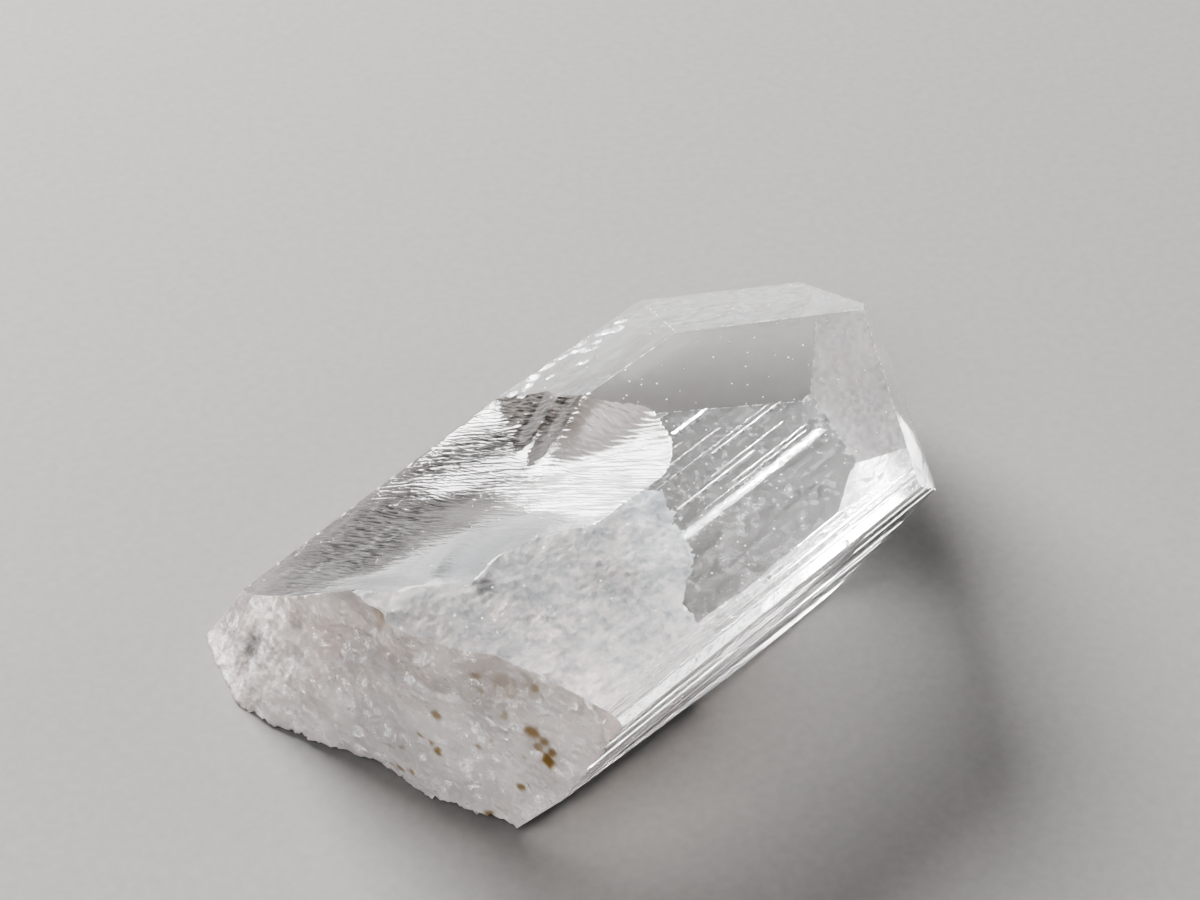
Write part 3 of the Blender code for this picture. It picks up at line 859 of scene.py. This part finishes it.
    rough = look["roughness"]
    onHackles = layered("FLOAT", rough["hackles"], (streak, rough["streaks"]))
    onChip = layered("FLOAT", rough["smoothChip"], (ridged, onHackles))
    onBed = layered("FLOAT", rough["bed"], (fog, rough["fog"]), (glossy, rough["glossyBed"]))
    onBreak = layered("FLOAT", rough["break"], (paintedSparkle, rough["paintedSparkle"]))
    roughness = layered(
        "FLOAT", rough["clear"],
        (frost, rough["frosted"]), (silky, onChip), (milky, onBed), (granular, onBreak),
        (speck, rough["speck"]), (rust, rough["rust"]),
    )
    plug(tree, roughness, shader.inputs["Roughness"])

    clear = look["clearness"]
    onChip = layered("FLOAT", clear["smoothChip"], (ridged, clear["hackles"]))
    onBed = layered("FLOAT", clear["bed"], (fog, clear["fog"]), (paintedGlint, clear["paintedGlint"]))
    onBreak = layered("FLOAT", clear["break"], (blotch, clear["blotch"]))
    clearness = layered(
        "FLOAT", clear["clear"],
        (frost, clear["frosted"]), (silky, onChip), (milky, onBed), (granular, onBreak),
        (speck, clear["speck"]), (rust, clear["rust"]),
    )
    plug(tree, clearness, shader.inputs["Transmission Weight"])

    strength = layered("FLOAT", 0.0, (silky, look["silkStrength"]))
    silk = addNode(
        tree, "ShaderNodeBump", Strength=strength, Distance=look["silkDepth"] * mm, Height=streak
    )
    grainy = addNode(tree, "ShaderNodeMath", {"operation": "MAXIMUM"}, at0=milky, at1=granular)
    slight = addNode(tree, "ShaderNodeMath", times, at0=etched, at1=look["etchedGrain"])
    grainy = addNode(tree, "ShaderNodeMath", {"operation": "MAXIMUM"}, at0=grainy, at1=slight)
    strength = layered("FLOAT", 0.0, (grainy, look["grainStrength"]))
    grains = addNode(
        tree, "ShaderNodeBump", Strength=strength, Distance=look["grainDepth"] * mm, Height=grain,
        Normal=silk,
    )
    plug(tree, grains, shader.inputs["Normal"])

    tint = addNode(tree, "ShaderNodeVolumeAbsorption", Color=colours["body"], Density=look["bodyDensity"])
    plug(tree, tint, tree.nodes["Material Output"].inputs["Volume"])
    return material


# Marks: first and second coordinate, radius, strength. Rust, painted shade in hollows and painted
# glints lie on the broken end (y, z), the smudges and spots of painted highlight on the bed patch (x, y).
marks = {
    "breakX": (-10.2, -10.6),  # the marks of the broken end fade in over this x
    "bedZ": (1.4, 1.0),  # and those of the bed patch over this height
    "rust": (
        (-3.98, 6.9, 0.17, 0.6), (-4.1, 6.3, 0.13, 0.5), (-5.0, 6.9, 0.42, 0.45), (-5.15, 6.6, 0.2, 0.5),
        (-6.09, 7.4, 0.15, 0.75), (-6.0, 7.5, 0.4, 0.25), (-4.93, 5.45, 0.15, 0.6), (-2.46, 4.3, 0.2, 0.8),
        (-1.87, 3.05, 0.11, 0.7), (-2.36, 3.0, 0.1, 0.8), (-2.64, 2.67, 0.16, 0.9), (-1.11, 2.0, 0.08, 0.6),
        (-0.67, 1.9, 0.07, 0.6), (-4.02, 3.55, 0.12, 0.7), (-4.5, 4.0, 0.08, 0.5), (-6.17, 5.5, 0.27, 0.9),
        (-6.6, 5.3, 0.18, 0.8), (-6.4, 4.95, 0.17, 0.75), (-6.95, 5.0, 0.16, 0.9), (-6.82, 4.56, 0.26, 1.0),
        (-0.53, 0.63, 0.12, 0.6), (-0.94, 0.78, 0.14, 0.7), (-1.51, 1.0, 0.12, 0.8), (-5.7, 2.5, 0.16, 0.9),
        (-4.43, 0.45, 0.14, 0.8), (-5.85, 4.12, 0.07, 0.6), (-0.2, 7.65, 0.3, 0.55), (-0.1, 7.2, 0.2, 0.4),
    ),
    # painted shade: grey darkening in the break's hollows and along its ledges
    "paintedHollowShade": (
        (6.31, 1.86, 0.4, 0.75), (6.0, 2.3, 0.25, 0.5), (3.97, 4.41, 0.3, 0.5), (3.77, 3.4, 0.3, 0.45),
        (1.98, 3.56, 0.3, 0.35), (1.22, 4.44, 0.35, 0.4), (0.1, 5.29, 0.45, 0.4), (-0.71, 5.23, 0.4, 0.4),
        (-2.61, 5.73, 0.3, 0.35), (5.2, 5.6, 0.5, 0.25),
    ),
    # painted highlight: glints on the broken end
    "paintedBreakGlints": (
        (-3.02, 5.6, 0.14, 1.0), (1.64, 3.07, 0.12, 1.0), (0.99, 2.36, 0.1, 1.0), (0.3, 3.28, 0.12, 1.0),
        (-5.3, 6.31, 0.18, 1.0), (3.46, 0.47, 0.1, 1.0), (0.74, 1.94, 0.1, 1.0), (7.99, 1.76, 0.12, 1.0),
        (2.6, 1.47, 0.12, 1.0), (-1.25, 2.59, 0.14, 1.0), (-4.05, 3.11, 0.12, 1.0), (-4.13, 1.16, 0.12, 1.0),
        (-1.91, 1.98, 0.12, 1.0), (-6.22, 4.52, 0.12, 1.0),
    ),
    "smudgeAndHollowShade": (
        (-7.54, 0.72, 0.3, 0.85), (-7.9, -3.6, 0.2, 0.4), (-4.4, -2.6, 0.9, 0.35), (-9.6, 2.2, 0.5, 0.3),
    ),
    # painted highlight: white spots on the bed patch
    "paintedGlint": (
        (-3.16, -4.6, 0.4, 1.0), (-3.3, -5.1, 0.3, 1.0), (-8.6, -5.3, 0.45, 1.0), (-8.0, -5.2, 0.45, 1.0),
        (-4.6, -5.6, 0.2, 0.8), (-5.6, -3.4, 0.2, 0.6),
    ),
    "wobble": (0.35, 3.0),  # of a mark's outline: its share of the radius, and waves to a millimetre
    "fade": (0.5, 1.3),  # a mark thins out between these shares of its radius
    "spread": 0.8,
}


def markAt(first, second, spots):
    share, often = marks["wobble"]
    stray = share * noise.noise(Vector((0.0, first * often, second * often)))
    best = 0.0
    for centreFirst, centreSecond, radius, strength in spots:
        away = marks["spread"] * math.hypot(first - centreFirst, second - centreSecond) / radius + stray
        best = max(best, strength * (1.0 - smoothStep(*marks["fade"], away)))
    return best


def paintMarks(item):
    # done before the crystal is moved; the painted shade of the break's hollows shares a layer with the
    # bed's smudges, and the break's painted glints one with the bed's painted-highlight spots
    values = {"rust": [], "smudgeAndHollowShade": [], "paintedGlint": []}
    for vert in item.data.vertices:
        x, y, z = vert.co / mm
        onBreak = smoothStep(*marks["breakX"], x)
        onBed = smoothStep(*marks["bedZ"], z)
        values["rust"].append(markAt(y, z, marks["rust"]) * onBreak if onBreak else 0.0)
        for name, breakName in (("smudgeAndHollowShade", "paintedHollowShade"), ("paintedGlint", "paintedBreakGlints")):
            strength = markAt(x, y, marks[name]) * onBed if onBed else 0.0
            if onBreak:
                strength = max(strength * (1.0 - onBreak), markAt(y, z, marks[breakName]) * onBreak)
            values[name].append(strength)
    for name, numbers in values.items():
        item.data.attributes.new(name, "FLOAT", "POINT").data.foreach_set("value", numbers)


def joinCuts(item, cutters):
    for cutter in cutters:
        modifier = item.modifiers.new(cutter.name, "BOOLEAN")
        modifier.operation = "DIFFERENCE"
        modifier.solver = "MANIFOLD"
        modifier.object = cutter
    graph = bpy.context.evaluated_depsgraph_get()
    mesh = bpy.data.meshes.new_from_object(item.evaluated_get(graph))
    item.modifiers.clear()
    item.data = mesh
    for cutter in cutters:
        bpy.data.objects.remove(cutter, do_unlink=True)


danburite = danburiteMaterial()
relief = fractureTree()
body = crystalBlank()
body.data.materials.append(danburite)
body.data.shade_flat()

chipBlock = fractureBlock("chipBlock", chip, chipSurface, chip["hackleLean"], hackleStrength, chipShade)
settle(chipBlock, relief, {
    "Across": Vector(chip["hackleAcross"]), "Along": Vector(chip["hackleAlong"]),
    "Ridge Spacing": 0.2 * mm, "Ridge Height": 0.055 * mm, "Ridge Wander": 2.4,
    "Wander Width": 1.1 * mm, "Wander Length": 3.2 * mm,
    "Streak Width": 0.11 * mm, "Streak Length": 2.2 * mm, "Streak Height": 0.07 * mm,
    "Facet Size": 0.3 * mm, "Facet Tilt": 0.04, "Swell Size": 1.6 * mm, "Swell Height": 0.03 * mm,
    "Zone": "silky", "Material": danburite,
})
breakBlock = fractureBlock("breakBlock", brokenEnd, breakSurface)
settle(breakBlock, relief, {
    "Out": Vector((1.0, 0.0, 0.0)),
    "Facet Size": 0.42 * mm, "Facet Tilt": 0.36, "Swell Size": 0.6 * mm, "Swell Height": 0.1 * mm,
    "Zone": "granular", "Material": danburite,
})
bedBlock = fractureBlock("bedBlock", bedPatch, bedSurface)
settle(bedBlock, relief, {
    "Facet Size": 0.35 * mm, "Facet Tilt": 0.7, "Swell Size": 0.5 * mm, "Swell Height": 0.1 * mm,
    "Zone": "milky", "Material": danburite,
})
print("fracture surfaces made")

dice = random.Random(growth["seed"])
lines, bruises = growthLineTree(), bruiseTree()
grooves = [
    settle(restingLines(dice), lines, {"Etching": 0.8, "Material": danburite}),
    settle(slopeLines("sideLines", dice, "sideUndercut", growth["side"], growth["sideFine"]), lines, {
        "Turn": turnOnto("sideUndercut"), "Etching": 0.15, "Material": danburite,
    }),
    settle(slopeLines("farLines", dice, "farSide", (), growth["farFine"]), lines, {
        "Turn": turnOnto("farSide"), "Etching": 0.4, "Material": danburite,
    }),
]
hollows = []
for name, (reach, gap, radii, heights, stretch) in nicks.items():
    rows = bruiseRows(dice, reach, gap, radii, heights, stretch)
    for part in apartSets(rows, roomBetween * max(stretch)):
        hollows.append(settle(markers(name, part, ("radius",)), bruises, {
            "Turn": turnOnto("farBevel"), "Stretch": Vector(stretch), "Etching": 0.8, "Material": danburite,
        }))
ridgeY, ridgeZ = growth["ridge"]
outY, outZ = growth["ridgeOut"]
ridgeRows = [
    ((x, ridgeY + outY * proud, ridgeZ + outZ * proud), radius)
    for x, radius, proud in growth["ridgeBruises"]
]
hollows.append(settle(markers("ridgeBruises", ridgeRows, ("radius",)), bruises, {
    "Stretch": Vector((1.6, 1.0, 1.0)), "Etching": 0.9, "Material": danburite,
}))
joinCuts(body, [riserBlock()] + grooves)
joinCuts(body, hollows)
print("growth lines cut:", len(body.data.polygons), "faces")
joinCuts(body, [chipBlock, bedBlock, breakBlock])
print("fractures cut:", len(body.data.polygons), "faces")

# onto the frame: the pointed end, the two sides and the resting face meet the solid's
lows = [min(v.co[i] for v in body.data.vertices) for i in range(3)]
highs = [max(v.co[i] for v in body.data.vertices) for i in range(3)]
shift = Vector((cadHigh.x - highs[0], (cadHigh.y + cadLow.y - highs[1] - lows[1]) / 2, cadLow.z - lows[2]))

paintMarks(body)
for vert in body.data.vertices:
    vert.co += shift
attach(body, "root")
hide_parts("danburite_crystal")

# The room: a pale floor, a window-like softbox behind on the left, a weak fill, and a small light
# for the near ridge. Compass and rise are in degrees, distances and sizes in metres.
studio = {
    "floor": 0.9,
    "floorDrop": 0.02,  # millimetres clear of the resting face, so that the two don't coincide
    "key": {"compass": 79.0, "rise": 34.0, "away": 0.42, "size": 0.28, "watts": 6.6},
    "fill": {"compass": 196.0, "rise": 48.0, "away": 0.5, "size": 0.35, "watts": 1.8},
    "ridge": {"compass": -56.0, "rise": 24.0, "away": 0.4, "size": 0.1, "watts": 0.4},
    "floorColours": ("#72706E", "#7E7C7A"),
    "floorRoughness": 0.85,
    "floorTooth": 0.4,  # millimetres
    "camera": {
        "target": (4.0, 5.85, 0.0),  # millimetres, on the crystal
        "offset": (-56.53, -52.71, 69.59),
        "lens": 78.0,
        "sensor": 36.0,
        "clip": (0.005, 3.0),
    },
    "air": "#8E9BAA",
    "airStrength": 0.1,
    "bounces": 16,  # light crosses the crystal many times before it leaves
    "look": "AgX - High Contrast",
}


def paleFloor():
    bm = bmesh.new()
    bmesh.ops.create_grid(bm, x_segments=1, y_segments=1, size=studio["floor"] / 2)
    for vert in bm.verts:
        vert.co.z = cadLow.z - studio["floorDrop"] * mm
    floor = objectFrom("paleFloor", bm)
    material = bpy.data.materials.new("paleCard")
    material.use_nodes = True
    tree = material.node_tree
    shader = tree.nodes["Principled BSDF"]
    shader.inputs["Roughness"].default_value = studio["floorRoughness"]
    place = addNode(tree, "ShaderNodeTexCoord").outputs["Object"]
    size = studio["floorTooth"] * mm
    tooth = addNode(tree, "ShaderNodeTexNoise", Vector=place, Scale=1 / size, Detail=3.0)
    dark, light = [hexColour(code) for code in studio["floorColours"]]
    colour = addNode(tree, "ShaderNodeMix", {"data_type": "RGBA"}, at0=tooth, at1=dark, at2=light)
    plug(tree, colour, shader.inputs["Base Color"])
    floor.data.materials.append(material)


def softbox(name, compass, rise, away, size, watts):
    light = bpy.data.lights.new(name, "AREA")
    light.shape = "DISK"
    light.size = size
    light.energy = watts
    item = bpy.data.objects.new(name, light)
    bpy.context.scene.collection.objects.link(item)
    way = faceNormal(compass, rise)
    item.location = way * away
    item.rotation_euler = way.to_track_quat("Z", "Y").to_euler()


def camera():
    # looks down at 42 degrees, with the crystal's axis turned 47 degrees from the view's right
    numbers = studio["camera"]
    data = bpy.data.cameras.new("view")
    data.lens, data.sensor_width = numbers["lens"], numbers["sensor"]
    data.clip_start, data.clip_end = numbers["clip"]
    item = bpy.data.objects.new("view", data)
    bpy.context.scene.collection.objects.link(item)
    target = Vector(numbers["target"]) * mm + shift
    item.location = target + Vector(numbers["offset"]) * mm
    item.rotation_euler = (target - item.location).to_track_quat("-Z", "Y").to_euler()
    bpy.context.scene.camera = item


paleFloor()
softbox("windowKey", **studio["key"])
softbox("fillLight", **studio["fill"])
softbox("ridgeLight", **studio["ridge"])
world = bpy.data.worlds.new("room")
world.use_nodes = True
bpy.context.scene.world = world
air = world.node_tree.nodes["Background"]
air.inputs["Color"].default_value = hexColour(studio["air"])
air.inputs["Strength"].default_value = studio["airStrength"]
camera()
lightPaths = bpy.context.scene.cycles
lightPaths.max_bounces = lightPaths.glossy_bounces = lightPaths.transmission_bounces = studio["bounces"]
lightPaths.sample_clamp_indirect = 0.0
bpy.context.scene.view_settings.look = studio["look"]
print("room and camera set")
